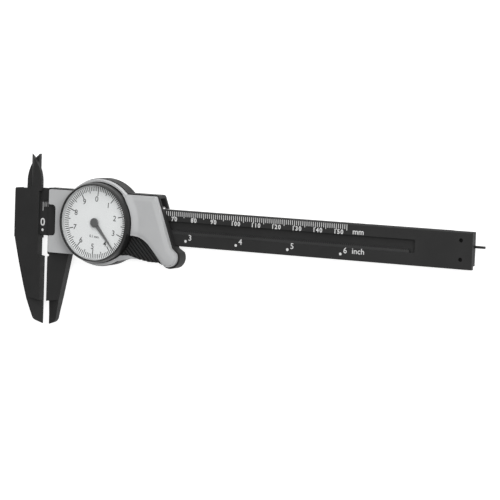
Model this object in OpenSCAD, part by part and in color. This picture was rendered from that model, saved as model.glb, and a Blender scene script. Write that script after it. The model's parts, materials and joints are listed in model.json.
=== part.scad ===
// Dial caliper, 0 to 150 mm, one turn of the pointer per 10 mm.
// Frame: X = 0 is the fixed measuring face, Y = 0 the middle of the beam,
// Z = 0 the surface that the caliper lies on. +X runs along the beam away
// from the fixed jaw, +Y towards the inside jaws, +Z out of the dial.

/* [Measuring] */
// Opening of the jaws in the modelled position
opening = 3.75; // [1:0.25:8]
// Largest reading
reading_max = 150; // [120:10:150]
// Travel per turn of the pointer
travel_per_turn = 10; // [10]
// Turn of the dial from upright, clockwise, left by the last zero setting
dial_turn = 4.3; // [0:0.1:90]

/* [Beam] */
// Height of the beam
beam_w = 16; // [15.5:0.1:16.2]
// Thickness of the beam
beam_t = 3.7; // [3.6:0.05:3.75]
// Underside of the beam above the surface
beam_z = 1.8; // [1.75:0.01:1.85]
// Bevel along the top front edge of the beam
beam_bevel = 0.6; // [0.4:0.1:1.2]
// Beam beyond the largest reading
beam_tail = 62.5; // [58:0.5:70]

/* [Jaws] */
// Thickness of the outside jaws
jaw_t = 3.9; // [3.5:0.1:3.9]
// Front face of the jaws above the surface
jaw_top = 6.7; // [6.5:0.1:6.8]
// Reach of the outside jaws below the middle of the beam
jaw_reach = 49.3; // [45:0.1:52]
// Reach of the inside jaws above the middle of the beam
inside_reach = 29.6; // [27:0.1:32]
// Where the thin tips of the outside jaws begin
tip_start = 38.3; // [36:0.1:40]
// Thickness of the measuring edge at those tips
tip_t = 1; // [0.6:0.1:1.5]

/* [Dial] */
// Distance of the dial's centre from the moving measuring face
dial_x = 29.05; // [28.8:0.05:29.3]
// Height of the dial's centre above the middle of the beam
dial_y = 0.3; // [0.2:0.05:0.35]
// Inner radius of the bezel
bezel_r = 17.05; // [16.9:0.05:17.1]
// Front face of the bezel above the surface
bezel_top = 15; // [14.8:0.1:15.2]
// Front face of the dial above the surface
dial_z = 12.1; // [12:0.05:12.2]
// Length of the hand from the arbor to its tip
hand_len = 15.6; // [12:0.1:16]

/* [Slider] */
// Top edge of the carriage
body_y1 = 14.3; // [14.2:0.1:14.4]
// Bottom edge of the carriage
body_y0 = -15.4; // [-15.5:0.1:-15.3]
// Radius of the round middle of the carriage
body_r = 20; // [19.9:0.05:20.1]
// Front of the carriage's deck above the surface
deck_z = 8; // [7.9:0.05:8.05]
// Front of the cover's plain panel
panel_z = 9.3; // [9.2:0.05:9.4]
// Front of the cover's wing
wing_z = 10.6; // [10.4:0.1:10.8]
// Radius of the thumb lobe
lobe_r = 4.2; // [4:0.1:4.5]
// Step from the cover's wing out to the carriage behind it
body_step = 0.6; // [0.4:0.1:0.8]
// Sliding clearance between beam and carriage
slide_gap = 0.1; // [0.08:0.01:0.15]

/* [Gearing] */
// Teeth of the pinion
pinion_teeth = 10; // [10]
// Pressure angle of the rack
pressure_angle = 25; // [25]
// Play across each tooth space
backlash = 0.08; // [0.06:0.01:0.12]

/* [Hidden] */
$fn = 96;
eps = 0.01;

// Heights
beam_top = beam_z + beam_t;
jaw_z = jaw_top - jaw_t;
plate_t = 1.5;
deck_under = beam_top + slide_gap;

// Beam
beam_end = reading_max + beam_tail;
half_w = beam_w / 2;
head_x = -14.9;
head_top = 13.5;
relief_x = -1.66;
relief_y = -17.5;
groove_y1 = 3;
groove_z = beam_z + 2.1;
rod_y = 1.7;
rod_z = 2.75;
rod_r = 0.55;
rod_extra = 0.9;
channel_w = 1.4;
channel_top = 3.45;
stop_x = beam_end - 9.5;
stop_y0 = -6.4;
stop_t = 1.8;
foot_r = 1;
rivet_x = beam_end - 5.2;
rivet_ys = [4.2, -3.9];
rivet_r = 0.9;
rivet_recess = 0.7;
rivet_head_r = 1.3;

// Gearing: the rack's pitch is one tooth of the pinion
pitch = travel_per_turn / pinion_teeth;
pitch_r = travel_per_turn / (2 * PI);
gear_module = pitch / PI;
addendum = 0.8 * gear_module;
dedendum = 1.05 * gear_module;
base_r = pitch_r * cos(pressure_angle);
rack_y = dial_y - pitch_r;
rack_back = rack_y - 1.3;
gear_z = [beam_z + 2.35, beam_z + 3.5];
spare_teeth = 4;
rack_from = dial_x - spare_teeth * pitch - 1;
rack_to = dial_x + reading_max + spare_teeth * pitch + 1;
turn_deg = 360 * opening / travel_per_turn;

// Inside jaws
inside_x = -6.9;
inside_w = 6.4;
inside_base_y = 16.5;
inside_side_r = 16.5;
inside_z = 4.85;
blade_gap = 0.1;
moving_blade_z = 2.9;

// Slider, measured from the moving face
plate_x = [1.4, 51];
arm_top = 13.9;
wing_corner = [59.1, 13.75];
wing_foot = [67.2, -9];
lobe = [66.1, -13.1];
window = [5.55, -7.5, 6.85];
window_r = 1.8;
panel_x = 1.85;
panel_y = [body_y0 + 0.2, body_y1 - 0.5];
panel_corner = 0.8;
cover_gap = 0.05;
bezel_outer = bezel_r + 1.1;
bezel_bevel = 1.15;
bezel_clear = bezel_outer + 0.3;
collar_w = 3.8;
collar_r = bezel_outer + collar_w;
collar_rise = 0.8;
boss_r = 16.04;
ring_groove_z = [9.4, 10.4];
rib_z = 9.3;
rib_half = 0.42;
rib_pitch = 2;
rib_turn = -46;
rib_from = [38, -12];
rib_count = 13;
grip_floor = deck_z + 0.4;
post_r = 2.2;
post_x = 8.4;
bridge_z = [9.6, 10.7];
gib_y = [half_w + 0.06, 9];
gib_x = [6, 59.5];
gib_span = gib_x[1] - gib_x[0];
gib_leaf = 0.3;
gib_rise = gib_y[1] - gib_y[0] - gib_leaf - 0.04;
plate_screws = [[6, 11.3], [47, 11.3], [6, -11.3], [47, -11.3]];
arbor_r = 0.6;
bushing_r = arbor_r + 0.02;
screw_r = 0.8;
peg_r = 1.2;
peg_play = 0.05;

// Points along an arc from angle a0 to angle a1
function arc(c, r, a0, a1, n = 12) =
    [for (i = [0:n]) c + r * [cos(a0 + (a1 - a0) * i / n), sin(a0 + (a1 - a0) * i / n)]];

// Angle between an involute's start and its point at radius r, in degrees
function roll(r) = sqrt(pow(r / base_r, 2) - 1) * 180 / PI;
function involute_angle(r) = roll(r) - atan(roll(r) * PI / 180);

module at_slider() translate([opening, 0, 0]) children();
module at_dial() translate([opening + dial_x, dial_y, 0]) children();
module slab(z0, z1) translate([0, 0, z0]) linear_extrude(z1 - z0) children();
module disc(r, z0, z1) translate([0, 0, z0]) cylinder(r = r, h = z1 - z0);
module block(x0, x1, y0, y1, z0, z1) translate([x0, y0, z0]) cube([x1 - x0, y1 - y0, z1 - z0]);
module rod_along_x(x0, x1, r) translate([x0, rod_y, rod_z]) rotate([0, 90, 0]) cylinder(r = r, h = x1 - x0);
module tube(r0, r1, z0, z1) difference() {
    disc(r1, z0, z1);
    disc(r0, z0 - 1, z1 + 1);
}

// ---------- beam with the fixed jaw ----------

// Outline of one outside jaw below the beam, its measuring edge at x = 0 and
// its body at x < 0
module outside_jaw_2d(edges) polygon(concat(
    [[relief_x, -half_w - 1], [relief_x, relief_y], [0, relief_y - 0.3], [0, -jaw_reach]],
    edges
));

// Wedge that thins a tip towards its measuring edge at x = 0
module tip_wedge() translate([0, -tip_start, 0]) rotate([0, 0, -9]) rotate([90, 0, 0])
    linear_extrude(jaw_reach) polygon([
        [-7.2, jaw_top + eps], [1, jaw_z + tip_t], [2, jaw_z + tip_t], [2, jaw_top + 1], [-7.2, jaw_top + 1]
    ]);

// Outline of one inside jaw, its measuring edge at x = 0 and its body at x > 0
module inside_jaw_2d(base) polygon(concat(
    [[0, base], [0, inside_reach]],
    arc([inside_w - inside_side_r, inside_base_y], inside_side_r, 45.5, 0),
    [[inside_w, base]]
));

// Bevel that leaves a narrow measuring land at x = 0 on the face z = z1
module knife_edge(z0, z1) translate([0, inside_reach + 1, 0]) rotate([90, 0, 0])
    linear_extrude(inside_reach - head_top) polygon([
        [-1, z0 + 0.35], [0, z0 + 0.35], [2.2, z1 + eps], [-1, z1 + eps]
    ]);

module beam_section_2d() polygon([
    [-half_w, beam_z + 1.6], [-half_w, beam_top - 0.3], [-half_w + 0.3, beam_top],
    [half_w - beam_bevel, beam_top], [half_w, beam_top - beam_bevel],
    [half_w, beam_z + 0.3], [half_w - 0.3, beam_z], [stop_y0, beam_z], [stop_y0, beam_z + 1.6]
]);

module beam_and_fixed_jaw() color([0.17, 0.17, 0.18]) difference() {
    union() {
        translate([inside_x, 0, 0]) rotate([90, 0, 90]) linear_extrude(beam_end - inside_x) beam_section_2d();
        slab(beam_z, jaw_top) polygon(concat(
            [[relief_x, -half_w - 1.5], [relief_x, head_top]],
            arc([head_x + 0.8, head_top - 0.8], 0.8, 90, 180, 6),
            [[head_x, -half_w - 1.5]]
        ));
        slab(jaw_z, jaw_top) outside_jaw_2d(concat(
            arc([-2.2, -jaw_reach + 3.7], 2.6, 250, 195, 4),
            [[-5.4, -44.2], [-9.1, -32], [-11.8, -21.9], [-14.0, -12.6], [head_x, -8.2]]
        ));
        translate([inside_x, 0, 0]) slab(inside_z, jaw_top) inside_jaw_2d(head_top - 1);
    }
    // thin outside tip and knife edge of the inside jaw
    tip_wedge();
    translate([inside_x, 0, 0]) knife_edge(inside_z, jaw_top);
    // room behind the head for the carriage's arm
    block(head_x + 1.5, 3, half_w + eps, head_top + 4, beam_z - 1, inside_z);
    // rack groove in front
    block(rack_from - 0.1, rack_to + 2.6, rack_back - 0.05, groove_y1, groove_z, beam_top + 1);
    // depth rod's channel behind, and the seat of the end stop
    block(5.5, beam_end + 1, rod_y - channel_w / 2, rod_y + channel_w / 2, beam_z - 1, channel_top);
    block(stop_x - 0.1, beam_end + 1, stop_y0 - 2, half_w + 1, beam_z - 1, beam_z + stop_t);
    for (y = rivet_ys)
        translate([rivet_x, y, 0]) cylinder(r = rivet_r, h = 10);
}

module rack_tooth_2d(x) {
    half = pitch / 4 - backlash / 4;
    lean = tan(pressure_angle);
    polygon([
        [x - half - dedendum * lean, rack_y - dedendum - eps],
        [x + half + dedendum * lean, rack_y - dedendum - eps],
        [x + half - addendum * lean, rack_y + addendum],
        [x - half + addendum * lean, rack_y + addendum]
    ]);
}

module rack_strip() color([0.22, 0.22, 0.23]) slab(groove_z, gear_z[1]) {
    translate([rack_from, rack_back])
        square([rack_to - rack_from, rack_y - dedendum - rack_back]);
    for (k = [-spare_teeth : reading_max / pitch + spare_teeth])
        rack_tooth_2d(dial_x + k * pitch);
}

module end_stop() color([0.13, 0.13, 0.14]) difference() {
    union() {
        block(stop_x, beam_end, stop_y0, half_w - 0.1, beam_z, beam_z + stop_t);
        slab(0, beam_z + eps) polygon(concat(
            arc([stop_x + 2, 6.4 - foot_r], foot_r, 90, 180, 4),
            arc([stop_x + 2, foot_r - 6], foot_r, 180, 270, 4),
            [[stop_x + 5.5, -6], [stop_x + 5.5, 6.4]]
        ));
    }
    rod_along_x(stop_x - 1, beam_end + 1, rod_r + 0.06);
    for (y = rivet_ys) {
        translate([rivet_x, y, -1]) cylinder(r = rivet_r, h = 8);
        translate([rivet_x, y, -1]) cylinder(r = rivet_head_r + 0.1, h = beam_z + 1.5);
    }
}

module end_stop_rivets() color([0.45, 0.45, 0.46]) for (y = rivet_ys) translate([rivet_x, y, 0]) {
    disc(rivet_r - 0.01, beam_z + 0.4, beam_top - rivet_recess);
    disc(rivet_head_r, beam_z - 0.2, beam_z + 0.5);
}

// ---------- slider ----------

// Lower edge of the carriage from the round middle to the lobe
low_edge = [[38.7, -16.8], [45, -15.1], [50.7, -15], [55.9, -15.8], [61.1, -15.8], [63.9, -17]];
// Upper edge of the cover's tail, which runs below the thumb grip
tail_edge = [[50.7, -14.9], [45.4, -13.6], [40.1, -14], [36, -16]];

module wing_2d(grow) polygon(concat(
    [[dial_x + 12, wing_corner[1] + grow]],
    arc([wing_corner[0] - 0.8, wing_corner[1] - 0.8], 0.8 + grow, 90, 15, 4),
    [wing_foot + [grow, 0]],
    arc(lobe, lobe_r + 1.5 * grow, 28, -130, 14),
    arc([47.5, -16.2], 11.8, 45, 92, 6),
    [[dial_x + 12, -3]]
));

module carriage_2d() {
    translate([0, body_y0]) square([dial_x, body_y1 - body_y0]);
    translate([dial_x, dial_y]) circle(r = body_r);
    wing_2d(body_step);
    grip_2d();
}

module grip_2d() polygon(concat([[dial_x, -8], [dial_x + 8, -17]], low_edge, [[66, -10], [50, 0]]));
module tail_2d() polygon(concat([[36, -17]], [for (i = [0:2]) low_edge[i]], tail_edge));

// Thumb grip: a raised floor with ribs parallel to the wing's slanting edge
module thumb_grip() intersection() {
    slab(deck_z - 0.5, rib_z + eps) difference() {
        grip_2d();
        circle_at_dial(bezel_clear + 0.05);
        wing_2d(0.35);
        tail_2d();
    }
    union() {
        block(dial_x, 70, -20, 2, deck_z - 1, grip_floor);
        for (i = [0:rib_count - 1]) translate(rib_from + [rib_pitch * i, 0]) rotate([0, 0, rib_turn])
            block(-25, 25, -rib_half, rib_half, deck_z - 1, rib_z);
    }
}

module circle_at_dial(r) translate([dial_x, dial_y]) circle(r = r);

module moving_jaw() difference() {
    slab(jaw_z, jaw_top) polygon(concat(
        [[0, body_y0 + 1], [0, -16.2], [0.9, -16.6], [0.9, -17.2], [0, -17.6], [0, -jaw_reach]],
        arc([1.6, -jaw_reach + 4.3], 3.5, 293, 356, 5),
        [[5.6, -42.8], [7.3, -36], [11.5, -16.6], [12, body_y0 + 1]]
    ));
    mirror([1, 0, 0]) tip_wedge();
}

module carriage_and_moving_jaw() color([0.19, 0.19, 0.2]) at_slider() difference() {
    union() {
        slab(plate_t, deck_z) carriage_2d();
        thumb_grip();
        moving_jaw();
        // arm that carries the moving inside jaw
        block(inside_x - inside_w + 0.2, 1, half_w, arm_top, moving_blade_z, inside_z - blade_gap);
        translate([inside_x, 0, 0]) mirror([1, 0, 0]) slab(moving_blade_z, inside_z - blade_gap)
            inside_jaw_2d(arm_top - 1);
        // boss that carries the bezel
        translate([dial_x, dial_y, 0]) tube(boss_r - 1.7, boss_r, deck_z - eps, dial_z - 0.75);
        for (s = [-1, 1])
            translate([dial_x + s * post_x, dial_y, 0]) disc(post_r, deck_z - eps, bridge_z[0]);
    }
    // channel of the beam, and the gib's room above it
    block(-20, 90, -half_w - slide_gap, half_w + slide_gap, plate_t - 1, deck_under);
    block(gib_x[0] - 0.5, gib_x[1] + 0.3, 0, gib_y[1], plate_t - 1, deck_under);
    // thinner index tab where the cover leaves a window
    block(-1, window[0] + 0.15, window[1] - 0.15, window[2] + 0.15, jaw_top, deck_z + 1);
    block(-1, 1.6, body_y0 - 1, body_y1 + 1, jaw_top, deck_z + 1);
    // hollow end beside the beam
    block(53, 90, gib_y[1] - 1, 12.9, plate_t + 1.2, deck_z - 0.9);
    // bearing hole, and holes for screws and cover pegs
    translate([dial_x, dial_y, 0]) disc(1.6, deck_under - 1, deck_z + 1);
    for (s = [-1, 1])
        translate([dial_x + s * post_x, dial_y, 0]) disc(screw_r, deck_z - 1.6, bridge_z[0] + 1);
    for (p = plate_screws) translate([p[0], p[1], 0]) disc(screw_r, 0, 5.5);
    for (p = cover_pegs)
        translate([p[0], p[1], 0]) disc(peg_r + peg_play, deck_z - 2, deck_z + 1);
    // groove of the friction ring
    translate([dial_x, dial_y, 0]) tube(boss_r - 0.85, boss_r + 1, ring_groove_z[0], ring_groove_z[1]);
    // relief under the lobe
    slab(0, 2.4) translate(lobe) circle(r = lobe_r + 2);
}

cover_pegs = [[3.6, 11.2], [3.6, -11.2], [56.5, 3], [52, 11.3]];

module front_cover() color([0.66, 0.66, 0.68]) at_slider() {
    difference() {
        union() {
            slab(deck_z + cover_gap, panel_z) panel_2d();
            // low rim round the bezel, open where the thumb grip meets it
            translate([dial_x, dial_y, 0]) rotate([0, 0, 35]) rotate_extrude(angle = 265)
                polygon([
                    [bezel_outer, deck_z + 0.08], [body_r - 0.35, deck_z + 0.08],
                    [body_r - 0.35, panel_z + 0.1], [body_r - 0.75, panel_z + 0.5], [bezel_outer, panel_z + 0.5]
                ]);
            slab(deck_z + cover_gap, wing_z - 0.5) wing_2d(0);
            slab(wing_z - 0.51, wing_z) wing_2d(-0.35);
            // collar that rises from the wing to the bezel
            intersection() {
                translate([dial_x, dial_y, 0]) rotate([0, 0, -25]) rotate_extrude(angle = 57)
                    polygon([
                        [bezel_outer, wing_z - 1], [collar_r, wing_z - 1], [collar_r, wing_z - 0.02],
                        [bezel_outer, wing_z + collar_rise]
                    ]);
                slab(deck_z, wing_z + 2) wing_2d(-0.35);
            }
            // tail of the rim below the grip
            slab(deck_z + cover_gap, panel_z) tail_2d();
        }
        translate([dial_x, dial_y, 0]) disc(bezel_clear, 0, 30);
        slab(0, 30) window_2d();
        // hollow of the wing
        slab(0, wing_z - 1.4) polygon([
            [dial_x + 19, 12.4], [57.6, 12.4], [65.2, -9], [60.3, -9], [55, -5.6], [50, -3.4], [dial_x + 19.5, -3.4]
        ]);
    }
    for (p = cover_pegs) translate([p[0], p[1], 0]) disc(peg_r, deck_z - 1.9, deck_z + 1.2);
    // posts in the wing's hollow, above its two pegs
    for (p = [cover_pegs[2], cover_pegs[3]])
        translate([p[0], p[1], 0]) disc(peg_r + 0.3, deck_z + cover_gap, wing_z - 1);
}

// Plain panel of the cover, with round left corners
module panel_2d() polygon(concat(
    arc([panel_x + panel_corner, panel_y[1] - panel_corner], panel_corner, 90, 180, 5),
    arc([panel_x + panel_corner, panel_y[0] + panel_corner], panel_corner, 180, 270, 5),
    [[dial_x - 6, panel_y[0]], [dial_x - 6, panel_y[1]]]
));

// Window over the index tab, open to the left, with all its corners round
module window_2d() {
    lip_x = panel_x + panel_corner - 0.03;
    polygon(concat(
        [[0, window[1] - panel_corner]],
        arc([lip_x, window[1] - panel_corner], panel_corner, 180, 90, 5),
        arc([window[0] - window_r, window[1] + window_r], window_r, 270, 360, 6),
        arc([window[0] - window_r, window[2] - window_r], window_r, 0, 90, 6),
        arc([lip_x, window[2] + panel_corner], panel_corner, 270, 180, 5),
        [[0, window[2] + panel_corner]]
    ));
}

module back_plate() color([0.15, 0.15, 0.16]) at_slider() difference() {
    union() {
        slab(0.4, plate_t - 0.02) plate_2d(0);
        slab(0, 0.41) plate_2d(0.4);
    }
    for (p = plate_screws) translate([p[0], p[1], 0]) {
        disc(0.9, -1, 3);
        disc(1.7, -1, 0.8);
    }
    translate([plate_x[0] + 5, rod_y, 0]) disc(rod_r + 0.01, 0.5, 3);
}

module plate_2d(inset) polygon(concat(
    arc([plate_x[1] - 2, 11.2], 2 - inset, 90, 0, 5), arc([plate_x[1] - 2, -11.2], 2 - inset, 0, -90, 5),
    arc([plate_x[0] + 2, -11.2], 2 - inset, -90, -180, 5), arc([plate_x[0] + 2, 11.2], 2 - inset, 180, 90, 5)
));

module back_plate_screws() color([0.6, 0.6, 0.62]) at_slider() for (p = plate_screws)
    translate([p[0], p[1], 0]) difference() {
        union() {
            disc(screw_r - 0.01, 0.7, 5.2);
            disc(2 * screw_r, 0.2, 0.75);
        }
        block(-1.1, 1.1, -0.15, 0.15, 0, 0.45);
        block(-0.15, 0.15, -1.1, 1.1, 0, 0.45);
    }

// Inner face of the bowed leaf at x
function bow(x) = gib_y[0] + gib_rise * pow(2 * (x - gib_x[0]) / gib_span - 1, 2);

// Bowed leaf between the beam's top edge and the carriage
module gib_spring() color([0.75, 0.76, 0.78]) at_slider() slab(beam_z + 0.4, beam_top - 0.9) {
    xs = [for (i = [0:16]) gib_x[0] + gib_span * i / 16];
    polygon(concat([for (x = xs) [x, bow(x)]], [for (i = [16:-1:0]) [xs[i], bow(xs[i]) + gib_leaf]]));
}

module bearing_bridge() color([0.72, 0.6, 0.32]) at_dial() difference() {
    slab(bridge_z[0], bridge_z[1]) intersection() {
        circle(r = 11.2);
        square([30, 9], center = true);
    }
    disc(1.9, 0, 20);
    for (s = [-1, 1]) translate([s * post_x, 0, 0]) disc(0.9, 0, 20);
}

module bridge_screws() color([0.6, 0.6, 0.62]) at_dial() for (s = [-1, 1])
    translate([s * post_x, 0, 0]) difference() {
        union() {
            disc(screw_r - 0.01, deck_z - 1.4, bridge_z[1] + eps);
            disc(1.5, bridge_z[1], bridge_z[1] + 0.6);
        }
        block(-2, 2, -0.15, 0.15, bridge_z[1] + 0.3, 20);
    }

module lower_bushing() color([0.8, 0.65, 0.3]) at_dial() difference() {
    union() {
        disc(1.6, deck_under + 0.1, deck_z + eps);
        disc(2.2, deck_z, deck_z + 0.35);
    }
    disc(bushing_r, 0, 20);
}

module upper_bushing() color([0.8, 0.65, 0.3]) at_dial() difference() {
    union() {
        disc(1.9, bridge_z[0] - 0.2, bridge_z[1] + 0.2);
        disc(2.5, bridge_z[0] - 0.5, bridge_z[0]);
    }
    disc(bushing_r, 0, 20);
}

// Split wire ring that holds the bezel and drags on it
module bezel_friction_ring() color([0.7, 0.7, 0.72]) at_dial()
    translate([0, 0, (ring_groove_z[0] + ring_groove_z[1]) / 2]) rotate([0, 0, 100])
        rotate_extrude(angle = 344) translate([boss_r - 0.3, 0]) circle(r = 0.4, $fn = 24);

module depth_rod() color([0.7, 0.7, 0.72]) {
    leg_x = opening + plate_x[0] + 5;
    union() {
        rod_along_x(leg_x, beam_end + opening + rod_extra, rod_r);
        translate([leg_x, rod_y, 0]) disc(rod_r, 0.6, rod_z);
        translate([leg_x, rod_y, rod_z]) sphere(r = rod_r, $fn = 24);
    }
}

// ---------- bezel ----------

module bezel_ring() color([0.12, 0.12, 0.13]) at_dial() {
    lip = bezel_r + 0.5;
    ledge = dial_z - 0.5;
    rotate_extrude() polygon([
        [boss_r + 0.06, deck_z + 0.6], [bezel_outer - 0.3, deck_z + 0.6], [bezel_outer, deck_z + 0.9],
        [bezel_outer, bezel_top - bezel_bevel], [lip, bezel_top - 0.1], [lip - 0.1, bezel_top],
        [bezel_r + 0.1, bezel_top], [bezel_r, bezel_top - 0.1], [bezel_r, ledge], [boss_r + 0.06, ledge],
        [boss_r + 0.06, ring_groove_z[1]], [boss_r + 0.3, ring_groove_z[1]],
        [boss_r + 0.3, ring_groove_z[0]], [boss_r + 0.06, ring_groove_z[0]]
    ]);
}

module dial_plate() color([0.93, 0.93, 0.92]) at_dial() tube(1.2, bezel_r - 0.02, dial_z - 0.5, dial_z);

module dial_spacer_ring() color([0.6, 0.6, 0.6]) at_dial() rotate_extrude() polygon([
    [bezel_r - 0.5, dial_z], [bezel_r - 0.02, dial_z], [bezel_r - 0.02, dial_z + 1.6], [bezel_r - 0.3, dial_z + 1.6]
]);

module dial_crystal() color([0.85, 0.9, 0.95, 0.3]) at_dial() rotate_extrude() polygon([
    [0, dial_z + 1.62], [bezel_r - 0.02, dial_z + 1.62], [bezel_r - 0.02, dial_z + 2.4],
    [bezel_r - 0.3, dial_z + 2.65], [0, dial_z + 2.65]
]);

// ---------- pointer ----------

hand_z = dial_z + 0.6;

module pointer_hand() color([0.4, 0.4, 0.41]) at_dial() rotate([0, 0, -dial_turn - turn_deg])
    difference() {
        slab(hand_z, hand_z + 0.25) {
            circle(r = 1.7);
            polygon([[-0.95, 0], [0.95, 0], [0.16, hand_len], [-0.16, hand_len]]);
        }
        disc(arbor_r, 0, 20);
    }

module hand_hub_cap() color([0.3, 0.3, 0.31]) at_dial() difference() {
    rotate_extrude() polygon([
        [0, hand_z + 0.25], [2.15, hand_z + 0.25], [2.15, hand_z + 0.55], [1.85, hand_z + 0.8], [0, hand_z + 0.8]
    ]);
    disc(arbor_r, 0, hand_z + 0.6);
}

module pointer_arbor() color([0.78, 0.78, 0.8]) at_dial() {
    disc(arbor_r, gear_z[0], hand_z + 0.6);
    disc(1.1, deck_z + 0.5, bridge_z[0] - 0.65);
}

// Involute pinion whose tooth space faces the rack when the jaws are shut
module pinion() color([0.8, 0.65, 0.3]) at_dial() rotate([0, 0, -turn_deg - 90]) difference() {
    tip_r = pitch_r + addendum;
    root_r = pitch_r - dedendum;
    half_tooth = 90 / pinion_teeth - backlash / 4 / pitch_r * 180 / PI;
    flank = [for (i = [0:5]) base_r + (tip_r - base_r) * i / 5];
    half = [for (r = flank) half_tooth + involute_angle(pitch_r) - involute_angle(r)];
    slab(gear_z[0], gear_z[1]) polygon([
        for (k = [0:pinion_teeth - 1]) let (mid = (k + 0.5) * 360 / pinion_teeth) each concat(
            [root_r * [cos(mid - half[0]), sin(mid - half[0])]],
            [for (i = [0:5]) flank[i] * [cos(mid - half[i]), sin(mid - half[i])]],
            [for (i = [5:-1:0]) flank[i] * [cos(mid + half[i]), sin(mid + half[i])]],
            [root_r * [cos(mid + half[0]), sin(mid + half[0])]]
        )
    ]);
    disc(arbor_r, 0, 20);
}

beam_and_fixed_jaw();
rack_strip();
end_stop();
end_stop_rivets();
carriage_and_moving_jaw();
front_cover();
back_plate();
back_plate_screws();
gib_spring();
bearing_bridge();
bridge_screws();
lower_bushing();
upper_bushing();
bezel_friction_ring();
depth_rod();
bezel_ring();
dial_plate();
dial_spacer_ring();
dial_crystal();
pointer_hand();
hand_hub_cap();
pointer_arbor();
pinion();
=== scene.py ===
import json
import math

import bmesh
import bpy
from mathutils import Matrix, Vector
from mathutils.geometry import delaunay_2d_cdt

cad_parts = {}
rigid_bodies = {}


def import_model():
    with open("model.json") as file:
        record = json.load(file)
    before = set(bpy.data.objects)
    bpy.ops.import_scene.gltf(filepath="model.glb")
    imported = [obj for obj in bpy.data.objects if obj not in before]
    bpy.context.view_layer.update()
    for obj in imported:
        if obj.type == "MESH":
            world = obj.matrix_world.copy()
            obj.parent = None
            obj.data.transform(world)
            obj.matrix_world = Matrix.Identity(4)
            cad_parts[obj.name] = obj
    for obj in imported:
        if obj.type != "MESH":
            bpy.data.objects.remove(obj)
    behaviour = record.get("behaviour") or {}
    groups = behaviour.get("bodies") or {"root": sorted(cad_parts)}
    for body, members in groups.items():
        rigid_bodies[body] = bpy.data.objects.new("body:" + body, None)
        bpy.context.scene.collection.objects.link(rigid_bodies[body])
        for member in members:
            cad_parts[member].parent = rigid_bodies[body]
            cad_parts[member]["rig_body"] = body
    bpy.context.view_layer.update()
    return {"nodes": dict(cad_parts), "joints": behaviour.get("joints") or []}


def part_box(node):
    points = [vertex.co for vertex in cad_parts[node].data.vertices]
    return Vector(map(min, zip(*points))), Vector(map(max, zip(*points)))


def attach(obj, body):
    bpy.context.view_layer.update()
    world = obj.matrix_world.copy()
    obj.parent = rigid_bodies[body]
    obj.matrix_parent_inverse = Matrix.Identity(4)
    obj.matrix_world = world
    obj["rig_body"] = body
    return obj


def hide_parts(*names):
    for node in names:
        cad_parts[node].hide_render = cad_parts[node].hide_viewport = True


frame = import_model()

MM = 0.001

# ---------- places taken from the frame ----------


def centre_of(node):
    """Middle of a CAD node's box."""
    low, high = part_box(node)
    return (low + high) / 2


def joint(name):
    """A joint's row in the frame."""
    return next(j for j in frame["joints"] if j["name"] == name)


closed_x, open_x = joint("slider_travel")["range_m"]
reading_max = open_x - closed_x
dial_centre = centre_of("bezel_ring")
dial_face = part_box("dial_plate")[1].z
dial_radius = (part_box("dial_plate")[1].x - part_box("dial_plate")[0].x) / 2
beam_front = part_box("rack_strip")[1].z + 0.2 * MM  # the rack lies 0.2 mm below it
beam_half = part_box("end_stop")[1].y + 0.1 * MM  # the end stop's top lies 0.1 mm below it
BEAM_BEVEL = 0.6 * MM  # along the beam's top edge
COLLAR = 3.8 * MM  # width of the cover's collar round the bezel
DIAL_TURN = math.radians(4.3)  # of the dial from upright, clockwise
SAME = 0.0005 * MM  # points closer than this are one point

# ---------- node helpers ----------


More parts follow.
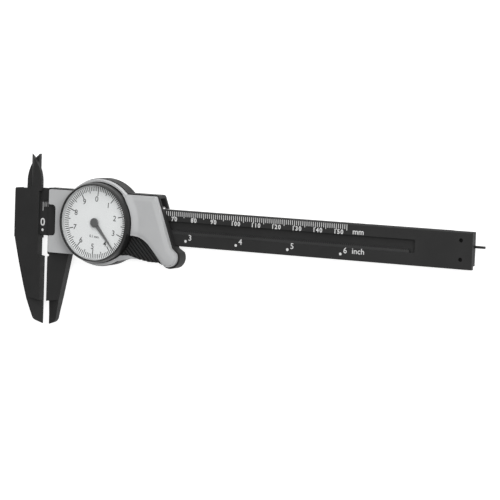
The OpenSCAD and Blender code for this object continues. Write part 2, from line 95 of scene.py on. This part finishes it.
class Shader:
    """A material with one Principled shader and short calls for its nodes."""

    def __init__(self, name):
        self.material = bpy.data.materials.new(name)
        self.material.use_nodes = True
        self.tree = self.material.node_tree
        self.main = self.tree.nodes["Principled BSDF"]
        self.output = self.tree.nodes["Material Output"]
        self.coords = self.tree.nodes.new("ShaderNodeTexCoord").outputs["Object"]

    def link(self, a, b):
        self.tree.links.new(a, b)

    def set(self, **values):
        """Sets inputs of the main shader, named with _ for each space."""
        for name, value in values.items():
            self.main.inputs[name.replace("_", " ")].default_value = value

    def noise(self, size, detail=3.0, rough=0.55, stretch=None):
        """Noise whose features are about size metres across, stretched by the given factors."""
        source = self.coords
        if stretch:
            mapping = self.tree.nodes.new("ShaderNodeMapping")
            mapping.inputs["Scale"].default_value = stretch
            self.link(source, mapping.inputs["Vector"])
            source = mapping.outputs["Vector"]
        node = self.tree.nodes.new("ShaderNodeTexNoise")
        node.inputs["Scale"].default_value = 1 / size
        node.inputs["Detail"].default_value = detail
        node.inputs["Roughness"].default_value = rough
        self.link(source, node.inputs["Vector"])
        return node.outputs["Fac"]

    def spread(self, fac, low, high, start=0.3, end=0.7):
        """fac from start..end mapped to low..high."""
        node = self.tree.nodes.new("ShaderNodeMapRange")
        limits = {"From Min": start, "From Max": end, "To Min": low, "To Max": high}
        for name, value in limits.items():
            node.inputs[name].default_value = value
        self.link(fac, node.inputs["Value"])
        return node.outputs["Result"]

    def mix(self, fac, a, b):
        """Colour between a and b; either may be a colour or a socket."""
        node = self.tree.nodes.new("ShaderNodeMix")
        node.data_type = "RGBA"
        self.link(fac, node.inputs["Factor"])
        for socket, value in ((node.inputs[6], a), (node.inputs[7], b)):
            if isinstance(value, bpy.types.NodeSocket):
                self.link(value, socket)
            else:
                socket.default_value = (*value, 1)
        return node.outputs[2]

    def math(self, operation, a, b):
        """The result of an operation on two values, each a number or a socket."""
        node = self.tree.nodes.new("ShaderNodeMath")
        node.operation = operation
        for socket, value in ((node.inputs[0], a), (node.inputs[1], b)):
            if isinstance(value, bpy.types.NodeSocket):
                self.link(value, socket)
            else:
                socket.default_value = value
        return node.outputs["Value"]

    def bump(self, height, distance, strength=1.0):
        """Bends the main shader's normal by a height that spans distance metres."""
        node = self.tree.nodes.new("ShaderNodeBump")
        node.inputs["Strength"].default_value = strength
        node.inputs["Distance"].default_value = distance
        self.link(height, node.inputs["Height"])
        self.link(node.outputs["Normal"], self.main.inputs["Normal"])

    def edges(self, radius):
        """1 on outer edges and 0 on faces, from how far a rounded normal leans off the true one."""
        bevel = self.tree.nodes.new("ShaderNodeBevel")
        bevel.samples = 4
        bevel.inputs["Radius"].default_value = radius
        geometry = self.tree.nodes.new("ShaderNodeNewGeometry")
        dot = self.tree.nodes.new("ShaderNodeVectorMath")
        dot.operation = "DOT_PRODUCT"
        self.link(bevel.outputs["Normal"], dot.inputs[0])
        self.link(geometry.outputs["Normal"], dot.inputs[1])
        return self.spread(dot.outputs["Value"], 1, 0, 0.8, 0.99)


def grey(value, warm=0.0):
    """A grey that leans to red where warm is above 0 and to blue below."""
    return (value * (1 + warm), value, value * (1 - warm))


def moulded(name, shade, roughness, warm=0.0, depth=0.012 * MM, mottle=0.08, edge_wear_and_highlight=0.3, sheen=0.5):
    """Moulded plastic: a fine grain of some depth, slow mottling, and edges made lighter partly by
    wear and partly by a painted highlight.
    """
    s = Shader(name)
    s.set(Specular_IOR_Level=sheen)
    slow = s.spread(s.noise(14 * MM, 2), 0, 1)
    base = s.mix(slow, grey(shade * (1 - mottle), warm), grey(shade * (1 + mottle), warm))
    # Edges painted lighter: partly wear, partly a painted highlight where rounded edges would catch
    # the light.
    wear_and_highlight = s.math("MULTIPLY", s.edges(0.25 * MM), s.spread(s.noise(3 * MM, 4), 0, edge_wear_and_highlight))
    s.link(s.mix(wear_and_highlight, base, grey(shade * 1.8 + 0.03, warm)), s.main.inputs["Base Color"])
    patches = s.spread(s.noise(5 * MM, 3), roughness - 0.06, roughness + 0.08)
    s.link(patches, s.main.inputs["Roughness"])
    s.bump(s.noise(0.25 * MM, 2), depth, 0.6)
    return s.material


def metal(name, shade, roughness, warm=0.0, brushed=(1, 1, 1)):
    """Machined metal with faint brushing, finer along the axes that brushed scales up."""
    s = Shader(name)
    s.set(Metallic=1.0)
    streaks = s.noise(0.2 * MM, 3, 0.6, brushed)
    tint = s.mix(s.spread(s.noise(4 * MM, 3), 0, 1), grey(shade * 0.85, warm), grey(shade, warm))
    s.link(tint, s.main.inputs["Base Color"])
    s.link(s.spread(streaks, roughness - 0.08, roughness + 0.12), s.main.inputs["Roughness"])
    s.bump(streaks, 0.004 * MM, 0.5)
    return s.material


def ink(name, shade):
    """Printed paint, a little uneven in cover and sheen."""
    s = Shader(name)
    speck = s.spread(s.noise(0.35 * MM, 4, 0.6), 0, 1)
    s.link(s.mix(speck, grey(shade * 0.86), grey(shade)), s.main.inputs["Base Color"])
    s.link(s.spread(s.noise(0.8 * MM, 2), 0.45, 0.62), s.main.inputs["Roughness"])
    s.bump(speck, 0.005 * MM, 0.3)
    return s.material


def printed_card(name, shade):
    """The dial's satin white sheet."""
    s = Shader(name)
    slow = s.spread(s.noise(9 * MM, 3), 0, 1)
    s.link(s.mix(slow, grey(shade * 0.975), grey(shade)), s.main.inputs["Base Color"])
    fibre = s.noise(0.12 * MM, 3)
    s.link(s.spread(fibre, 0.5, 0.62), s.main.inputs["Roughness"])
    s.bump(fibre, 0.003 * MM, 0.4)
    return s.material


def clear_plastic(name):
    """Cast acrylic: clear, with a Fresnel gloss on its front that hairline scratches break."""
    s = Shader(name)
    s.set(Metallic=1.0, Base_Color=(1, 1, 1, 1))
    hair = s.noise(0.5 * MM, 5, 0.7, (1, 14, 1))
    s.link(s.spread(hair, 0.02, 0.16, 0.5, 0.8), s.main.inputs["Roughness"])
    gloss = s.tree.nodes.new("ShaderNodeFresnel")
    gloss.inputs["IOR"].default_value = 1.49
    front = s.math("SUBTRACT", 1, s.tree.nodes.new("ShaderNodeNewGeometry").outputs["Backfacing"])
    clear = s.tree.nodes.new("ShaderNodeBsdfTransparent")
    clear.inputs["Color"].default_value = (0.975, 0.98, 0.98, 1)
    blend = s.tree.nodes.new("ShaderNodeMixShader")
    s.link(s.math("MULTIPLY", gloss.outputs["Fac"], front), blend.inputs["Fac"])
    s.link(clear.outputs["BSDF"], blend.inputs[1])
    s.link(s.main.outputs["BSDF"], blend.inputs[2])
    s.link(blend.outputs["Shader"], s.output.inputs["Surface"])
    return s.material


LOOKS = {
    "black_plastic": moulded("black plastic", 0.021, 0.55, sheen=0.18),
    # The rack is painted a little lighter than the black plastic: painted light against the shade in
    # its groove.
    "rack_plastic": moulded("rack plastic", 0.028, 0.4, sheen=0.25),
    "grey_plastic": moulded("grey plastic", 0.405, 0.4, warm=-0.01, mottle=0.03, edge_wear_and_highlight=0.35),
    "bezel_plastic": moulded("bezel plastic", 0.014, 0.34, depth=0.006 * MM, sheen=0.35),
    "dial_white": printed_card("dial white", 0.8),
    "dial_print": ink("dial print", 0.03),
    "scale_print": ink("scale print", 0.62),
    "spacer_grey": moulded("spacer grey", 0.5, 0.35, depth=0.004 * MM, mottle=0.03, edge_wear_and_highlight=0.1),
    "crystal": clear_plastic("crystal"),
    "hand_grey": moulded("hand grey", 0.14, 0.38, depth=0.003 * MM, mottle=0.05, edge_wear_and_highlight=0.2),
    "hub_grey": moulded("hub grey", 0.1, 0.4, depth=0.004 * MM, mottle=0.05, edge_wear_and_highlight=0.2),
    "rod_steel": metal("rod steel", 0.05, 0.4, brushed=(1, 18, 18)),
    # The rivets' steel is painted almost black: painted shade for the holes they sit in.
    "rivet_steel": metal("rivet steel with painted shade", 0.012, 0.5),
    "screw_steel": metal("screw steel", 0.5, 0.32),
    "spring_steel": metal("spring steel", 0.65, 0.25, warm=0.02, brushed=(1, 20, 20)),
    "brass": metal("brass", 0.62, 0.3, warm=0.22),
}

# ---------- dressing the CAD nodes ----------

SLOTS = {
    "beam_and_fixed_jaw": "black_plastic",
    "rack_strip": "rack_plastic",
    "end_stop": "black_plastic",
    "end_stop_rivets": "rivet_steel",
    "carriage_and_moving_jaw": "black_plastic",
    "front_cover": "grey_plastic",
    "back_plate": "black_plastic",
    "back_plate_screws": "screw_steel",
    "gib_spring": "spring_steel",
    "bearing_bridge": "brass",
    "bridge_screws": "screw_steel",
    "lower_bushing": "brass",
    "upper_bushing": "brass",
    "bezel_friction_ring": "spring_steel",
    "depth_rod": "rod_steel",
    "bezel_ring": "bezel_plastic",
    "dial_plate": "dial_white",
    "dial_spacer_ring": "spacer_grey",
    "dial_crystal": "crystal",
    "pointer_hand": "hand_grey",
    "hand_hub_cap": "hub_grey",
    "pointer_arbor": "rod_steel",
    "pinion": "brass",
}


def added(name, data):
    """Puts a new object with this data into the scene."""
    o = bpy.data.objects.new(name, data)
    bpy.context.scene.collection.objects.link(o)
    return o


def dress(node, slot):
    """Gives a CAD node the look of a material slot."""
    o = frame["nodes"][node]
    o.data.materials.clear()
    o.data.materials.append(LOOKS[slot])


def put(name, bm, slot, body, sharp=32):
    """A finished piece from a bmesh, shaded smooth but for edges past sharp degrees."""
    mesh = bpy.data.meshes.new(name)
    bm.to_mesh(mesh)
    bm.free()
    mesh.polygons.foreach_set("use_smooth", [True] * len(mesh.polygons))
    mesh.set_sharp_from_angle(angle=math.radians(sharp))
    mesh.materials.append(LOOKS[slot])
    o = added(name, mesh)
    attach(o, body)
    return o


def cad_mesh(node, level=None):
    """A CAD node's mesh, its flat faces merged; points within 0.02 mm of y = level move to it."""
    bm = bmesh.new()
    bm.from_mesh(frame["nodes"][node].data)
    for vert in bm.verts:
        if level is not None and abs(vert.co.y - level) < 0.02 * MM:
            vert.co.y = level
    bmesh.ops.remove_doubles(bm, verts=bm.verts[:], dist=SAME)
    bmesh.ops.dissolve_limit(bm, angle_limit=math.radians(0.5), verts=bm.verts[:], edges=bm.edges[:])
    return bm


def soften(bm, radius, sharp=34, keep=lambda e: True):
    """Rounds the edges that turn by more than sharp degrees, have room for it and pass keep."""

    def has_room(e):
        """True if no edge at its ends is too short for the rounding."""
        return all(near.calc_length() > 2.5 * radius for v in e.verts for near in v.link_edges)

    def is_sharp(e):
        """True if the edge turns by more than sharp degrees."""
        return len(e.link_faces) == 2 and e.calc_face_angle(0) > math.radians(sharp)

    bmesh.ops.bevel(
        bm,
        geom=[e for e in bm.edges if is_sharp(e) and keep(e) and has_room(e)],
        offset=radius,
        offset_type="OFFSET",
        segments=2,
        profile=0.5,
        affect="EDGES",
        clamp_overlap=True,
    )


def instead(bm, node, name):
    """Shows a finished mesh in the place of a CAD node."""
    o = put(name, bm, SLOTS[node], frame["nodes"][node]["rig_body"], 30)
    o.modifiers.new("even flats", "WEIGHTED_NORMAL").keep_sharp = True
    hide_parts(node)
    return o


def rounded(node, name, radius, level=None):
    """Shows a CAD node with rounded edges; level is for cad_mesh."""
    bm = cad_mesh(node, level)
    soften(bm, radius)
    bmesh.ops.dissolve_degenerate(bm, dist=SAME, edges=bm.edges[:])
    return instead(bm, node, name)


for node, slot in SLOTS.items():
    dress(node, slot)

# ---------- pieces with softened edges ----------


def edge_distance(point, edges):
    """Distance from a point to the nearest of some straight edges."""
    best = 1.0
    for a, b in edges:
        along = b - a
        t = max(0, min(1, (point - a).dot(along) / along.length_squared))
        best = min(best, (point - a - t * along).length)
    return best


def inside(point, loop):
    """True if a point lies within a closed outline."""
    hits = 0
    for a, b in zip(loop, loop[1:] + loop[:1]):
        if (a.y > point.y) != (b.y > point.y):
            hits += point.x < a.x + (point.y - a.y) * (b.x - a.x) / (b.y - a.y)
    return hits % 2 == 1


def smooth(t):
    """Eases t from 0 to 1."""
    return t * t * (3 - 2 * t)


def border_loop(rim):
    """The points of a closed chain of edges, in order."""
    loop = [rim[0].verts[0], rim[0].verts[1]]
    while len(loop) < len(rim):
        here = loop[-1]
        others = (e.other_vert(here) for e in rim if here in e.verts)
        loop.append(next(v for v in others if v is not loop[-2]))
    return loop


def cover():
    """The grey cover: its wing has soft open edges and a collar that rises to the bezel."""
    drop, border = 0.28 * MM, 2.2 * MM  # fall of the wing towards its open edges, and its width
    fade_from, fade_to = 30, 44  # degrees from +X round the dial where the collar dies out
    step = 0.45 * MM  # of the grid of new points
    clear = 0.3 * step  # no new point is closer to the border than this
    small = 50 * MM * MM  # area of a face that can't be the cover's front
    level = 0.01 * MM  # how far a point of the front may lie below the rest
    bm = cad_mesh("front_cover")
    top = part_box("front_cover")[1].z
    broad = [f for f in bm.faces if f.normal.z > 0.999 and f.calc_area() > small]
    crown = max(f.calc_center_median().z for f in broad)
    plateau = [f for f in bm.faces if min(v.co.z for v in f.verts) > crown - level]
    rim = [e for e in bm.edges if sum(f in plateau for f in e.link_faces) == 1]
    bmesh.ops.delete(bm, geom=plateau, context="FACES_ONLY")
    loop = border_loop(rim)
    path = [v.co.to_2d() for v in loop]
    around = [(a, b) for a, b in zip(path, path[1:] + path[:1]) if (b - a).length > 2 * SAME]
    middle = dial_centre.to_2d()
    cut = min((p - middle).length for p in path)
    open_edges = [(a, b) for a, b in around if ((a + b) / 2 - middle).length > cut + 0.2 * MM]

    def height(p):
        """Level of the cover's front at p."""
        near = min(edge_distance(p, open_edges) / border, 1)
        away = p - middle
        rise = max(0, 1 - (away.length - cut) / COLLAR)
        turn = math.degrees(math.atan2(away.y, away.x))
        fade = max(0, min(1, (fade_to - turn) / (fade_to - fade_from)))
        return crown - drop * (1 - smooth(near)) + (top - crown) * smooth(rise) * smooth(fade)

    low = Vector((min(p.x for p in path), min(p.y for p in path)))
    high = Vector((max(p.x for p in path), max(p.y for p in path)))
    grid = [
        low + step * Vector((i + 0.5, j + 0.5))
        for i in range(int((high.x - low.x) / step))
        for j in range(int((high.y - low.y) / step))
    ]
    grid = [p for p in grid if inside(p, path) and edge_distance(p, around) > clear]
    count = len(path)
    ring = [(i, (i + 1) % count) for i in range(count)]
    points, _, faces, origins, _, _ = delaunay_2d_cdt(path + grid, ring, [], 1, 1e-7)
    verts = []
    for point, origin in zip(points, origins):
        on_rim = [i for i in origin if i < count]
        verts.append(loop[on_rim[0]] if on_rim else bm.verts.new((point.x, point.y, crown)))
    for vert in loop + verts:
        vert.co.z = height(vert.co.to_2d())
    for face in faces:
        bm.faces.new([verts[i] for i in face])
    bmesh.ops.remove_doubles(bm, verts=loop, dist=SAME)
    bmesh.ops.delete(bm, geom=[e for e in bm.edges if not e.link_faces], context="EDGES")
    soften(bm, 0.15 * MM, 50, lambda e: all(v.co.z < crown - drop - 0.02 * MM for v in e.verts))
    return instead(bm, "front_cover", "cover_shell")


def bezel():
    """The bezel, rounded and finely serrated round its outside."""
    low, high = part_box("bezel_ring")
    outer = (high.x - low.x) / 2
    bore = dial_radius + 0.02 * MM
    boss = bore - 0.8 * MM
    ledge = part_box("dial_plate")[0].z
    r = 0.18 * MM  # rounding of the bore's front edge
    profile = [
        (boss, low.z),
        (outer - 0.35 * MM, low.z),
        (outer - 0.1 * MM, low.z + 0.12 * MM),
        (outer, low.z + 0.35 * MM),
        (outer, high.z - 1.3 * MM),
        (outer - 0.08 * MM, high.z - 1.05 * MM),
        (outer - 0.6 * MM, high.z - 0.2 * MM),
        (outer - 0.68 * MM, high.z - 0.06 * MM),
        (outer - 0.8 * MM, high.z),
        (bore + r, high.z),
        (bore + 0.3 * r, high.z - 0.3 * r),
        (bore, high.z - r),
        (bore, ledge),
        (boss, ledge),
    ]
    teeth, per_tooth = 120, 4
    cut = {4: 0.07 * MM, 3: 0.07 * MM}  # depth of the serrations at these points of the profile
    bm = bmesh.new()
    n = teeth * per_tooth
    rings = []
    for i in range(n):
        a = math.tau * i / n
        x, y = math.cos(a), math.sin(a)
        ring = []
        for k, (radius, z) in enumerate(profile):
            radius -= cut.get(k, 0) * (i % per_tooth >= per_tooth // 2)
            ring.append(bm.verts.new((dial_centre.x + radius * x, dial_centre.y + radius * y, z)))
        rings.append(ring)
    for i in range(n):
        for k in range(len(profile)):
            j = (k + 1) % len(profile)
            bm.faces.new((rings[i][k], rings[(i + 1) % n][k], rings[(i + 1) % n][j], rings[i][j]))
    o = put("bezel_serrated", bm, SLOTS["bezel_ring"], "bezel", 38)
    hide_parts("bezel_ring")


cover()
bezel()
rounded("beam_and_fixed_jaw", "beam_with_soft_edges", 0.14 * MM, beam_half)
rounded("carriage_and_moving_jaw", "carriage_with_soft_edges", 0.14 * MM)
rounded("end_stop", "end_stop_with_soft_edges", 0.12 * MM)
rounded("back_plate", "back_plate_with_soft_edges", 0.1 * MM)
rounded("hand_hub_cap", "hub_cap_with_soft_edges", 0.1 * MM)

# ---------- printed marks ----------

PRINT = 0.015 * MM  # thickness of the printed paint


def bar(bm, middle, along, length, width, z):
    """A thin printed bar whose long side follows the unit vector along."""
    across = Vector((-along.y, along.x))
    signs = ((-1, -1), (1, -1), (1, 1), (-1, 1))
    prism(bm, [middle + along * (length / 2) * a + across * (width / 2) * b for a, b in signs], z)


def prism(bm, outline, z):
    """A closed thin solid of print over an outline in X and Y."""
    low = [bm.verts.new((p.x, p.y, z)) for p in outline]
    top = [bm.verts.new((p.x, p.y, z + PRINT)) for p in outline]
    bm.faces.new(low[::-1])
    bm.faces.new(top)
    n = len(outline)
    for i in range(n):
        bm.faces.new((low[i], low[(i + 1) % n], top[(i + 1) % n], top[i]))


def dot(bm, middle, radius, z):
    """A printed dot with sixteen sides."""
    angles = [math.tau * i / 16 for i in range(16)]
    prism(bm, [middle + radius * Vector((math.cos(a), math.sin(a))) for a in angles], z)


def letters(bm, text, height, middle, z, turn=0.0, width=1.0, weight=0.0, spacing=1.0):
    """Adds text in the built-in font, its figures height tall, centred on a point and turned."""
    figure_height = 0.73  # of the font, per unit of its size
    curve = bpy.data.curves.new("letters", "FONT")
    curve.body = text
    curve.align_x = "CENTER"
    curve.align_y = "CENTER"
    curve.size = height / figure_height
    curve.extrude = PRINT / 2
    curve.offset = weight
    curve.space_character = spacing
    curve.resolution_u = 4
    o = added("letters", curve)
    depsgraph = bpy.context.evaluated_depsgraph_get()
    mesh = bpy.data.meshes.new_from_object(o.evaluated_get(depsgraph))
    place = Matrix.Translation((middle.x, middle.y, z + PRINT / 2)) @ Matrix.Rotation(turn, 4, "Z")
    mesh.transform(place @ Matrix.Diagonal((width, 1, 1, 1)))
    bm.from_mesh(mesh)
    bpy.data.objects.remove(o)
    bpy.data.curves.remove(curve)
    bpy.data.meshes.remove(mesh)


def beam_scale():
    """Millimetre ticks and numerals below the beam's top bevel."""
    bm = bmesh.new()
    top = beam_half - BEAM_BEVEL - 0.03 * MM
    last = round(reading_max / MM)
    for k in range(last + 6):
        length = (4.0 if k == 0 else 2.6 if k % 5 == 0 else 2.0) * MM
        width = (0.22 if k < 5 else 0.3) * MM
        bar(bm, Vector((k * MM, top - length / 2)), Vector((0, 1)), length, width, beam_front)
    style = {"width": 0.95, "weight": 0.08 * MM, "spacing": 1.3}
    for k in range(10, last + 1, 10):
        shift = 1.1 * MM * (len(str(k)) - 2)
        letters(bm, str(k), 1.95 * MM, Vector((k * MM + shift, 3.95 * MM)), beam_front, **style)
    letters(bm, "mm", 2.45 * MM, Vector((160.4, 4.4)) * MM, beam_front, width=1.05, weight=0.04 * MM)
    put("beam_millimetre_scale", bm, "scale_print", "beam", 20)


def inch_scale():
    """A dot and a figure for each inch, and the figure 0 of both scales."""
    bm = bmesh.new()
    line = -5.5 * MM
    inch = 25.4 * MM
    for k in range(7):
        here = Vector((k * inch, line))
        dot(bm, here, 0.62 * MM, beam_front)
        if k:
            beside = here + Vector((2.2, 1.55)) * MM
            letters(bm, str(k), 2.6 * MM, beside, beam_front, weight=0.03 * MM)
    zero, unit = Vector((0, -2.0)) * MM, Vector((160.7, -3.95)) * MM
    letters(bm, "0", 3.6 * MM, zero, beam_front, width=1.05, weight=0.09 * MM)
    letters(bm, "inch", 2.5 * MM, unit, beam_front, width=1.05, weight=0.03 * MM)
    put("beam_inch_scale", bm, "scale_print", "beam", 20)


def dial_scale():
    """A hundred divisions, ten figures and the value of a division on the dial."""
    bm = bmesh.new()
    middle = dial_centre.to_2d()
    outer, figures = dial_radius - 0.6 * MM, dial_radius - 6.2 * MM

    def outwards(share):
        """Direction from the dial's middle to this share of a turn on its scale."""
        a = math.pi / 2 - DIAL_TURN - math.tau * share
        return Vector((math.cos(a), math.sin(a)))

    for k in range(100):
        out = outwards(k / 100)
        length = {0: 4.3, 5: 3.0}.get(k % 10, 2.1) * MM
        width = (0.4 if k % 10 == 0 else 0.36) * MM
        bar(bm, middle + out * (outer - length / 2), out, length, width, dial_face)
    for k in range(10):
        at = middle + figures * outwards(k / 10) + Vector((-0.45, -0.2)) * MM
        letters(bm, str(k), 2.55 * MM, at, dial_face, -DIAL_TURN, weight=0.02 * MM)
    below = Matrix.Rotation(-DIAL_TURN, 2) @ Vector((0, -6.4 * MM))
    letters(bm, "0.1 mm", 1.2 * MM, middle + below, dial_face, -DIAL_TURN, weight=0.03 * MM)
    put("dial_divisions", bm, "dial_print", "bezel", 20)


beam_scale()
inch_scale()
dial_scale()

# ---------- camera, floor and light ----------


def aimed(o, target, up=Vector((0, 1, 0))):
    """Turns a lamp or camera at a point."""
    back = (o.location - target).normalized()
    right = up.cross(back).normalized()
    o.rotation_mode = "QUATERNION"
    o.rotation_quaternion = Matrix((right, back.cross(right), back)).transposed().to_quaternion()


def camera():
    """Looks down on the caliper, from the right and a little from the side of the inside jaws."""
    turn, tilt, roll = math.radians(27.516), math.radians(5.028), math.radians(2.092)
    target, distance = Vector((0.108751, -0.006995, 0.0055)), 0.874654
    away = Vector((math.sin(turn) * math.cos(tilt), math.sin(tilt), math.cos(turn) * math.cos(tilt)))
    data = bpy.data.cameras.new("camera")
    data.lens, data.sensor_width = 143.61, 36
    data.clip_start, data.clip_end = 0.05, 20
    o = added("camera", data)
    o.location = target + distance * away
    aimed(o, target)
    o.rotation_quaternion = o.rotation_quaternion @ Matrix.Rotation(roll, 3, "Z").to_quaternion()
    bpy.context.scene.camera = o


def softbox(name, place, size, power):
    """A white lamp of this size and power, aimed at the carriage."""
    data = bpy.data.lights.new(name, "AREA")
    data.shape = "RECTANGLE"
    data.size, data.size_y = size
    data.energy = power
    o = added(name, data)
    o.location = place
    aimed(o, centre_of("carriage_and_moving_jaw"), Vector((0.02, 0.1, 1)))


def floor():
    """A seamless white sheet under the caliper."""
    bm = bmesh.new()
    bmesh.ops.create_grid(bm, x_segments=1, y_segments=1, size=4)
    mesh = bpy.data.meshes.new("floor")
    bm.to_mesh(mesh)
    bm.free()
    s = Shader("white sheet")
    s.link(s.mix(s.spread(s.noise(0.4, 2), 0, 1), grey(0.5), grey(0.52)), s.main.inputs["Base Color"])
    s.set(Roughness=0.9, Specular_IOR_Level=0.1, Emission_Color=(1, 1, 1, 1), Emission_Strength=0.8)
    mesh.materials.append(s.material)
    added("floor", mesh)


def surroundings():
    """An even white room."""
    world = bpy.data.worlds.new("studio")
    world.use_nodes = True
    inputs = world.node_tree.nodes["Background"].inputs
    inputs["Color"].default_value = (1, 1, 1, 1)
    inputs["Strength"].default_value = 0.3
    bpy.context.scene.world = world
    bpy.context.scene.view_settings.view_transform = "Standard"


camera()
floor()
surroundings()
softbox("top light", Vector((0.0, 0.8, 0.45)), (0.9, 0.5), 4.2)
softbox("front light", Vector((0.1, 0.0, 1.3)), (0.8, 0.8), 3.1)
softbox("key light", Vector((0.85, 0.35, 0.8)), (0.5, 0.5), 9)
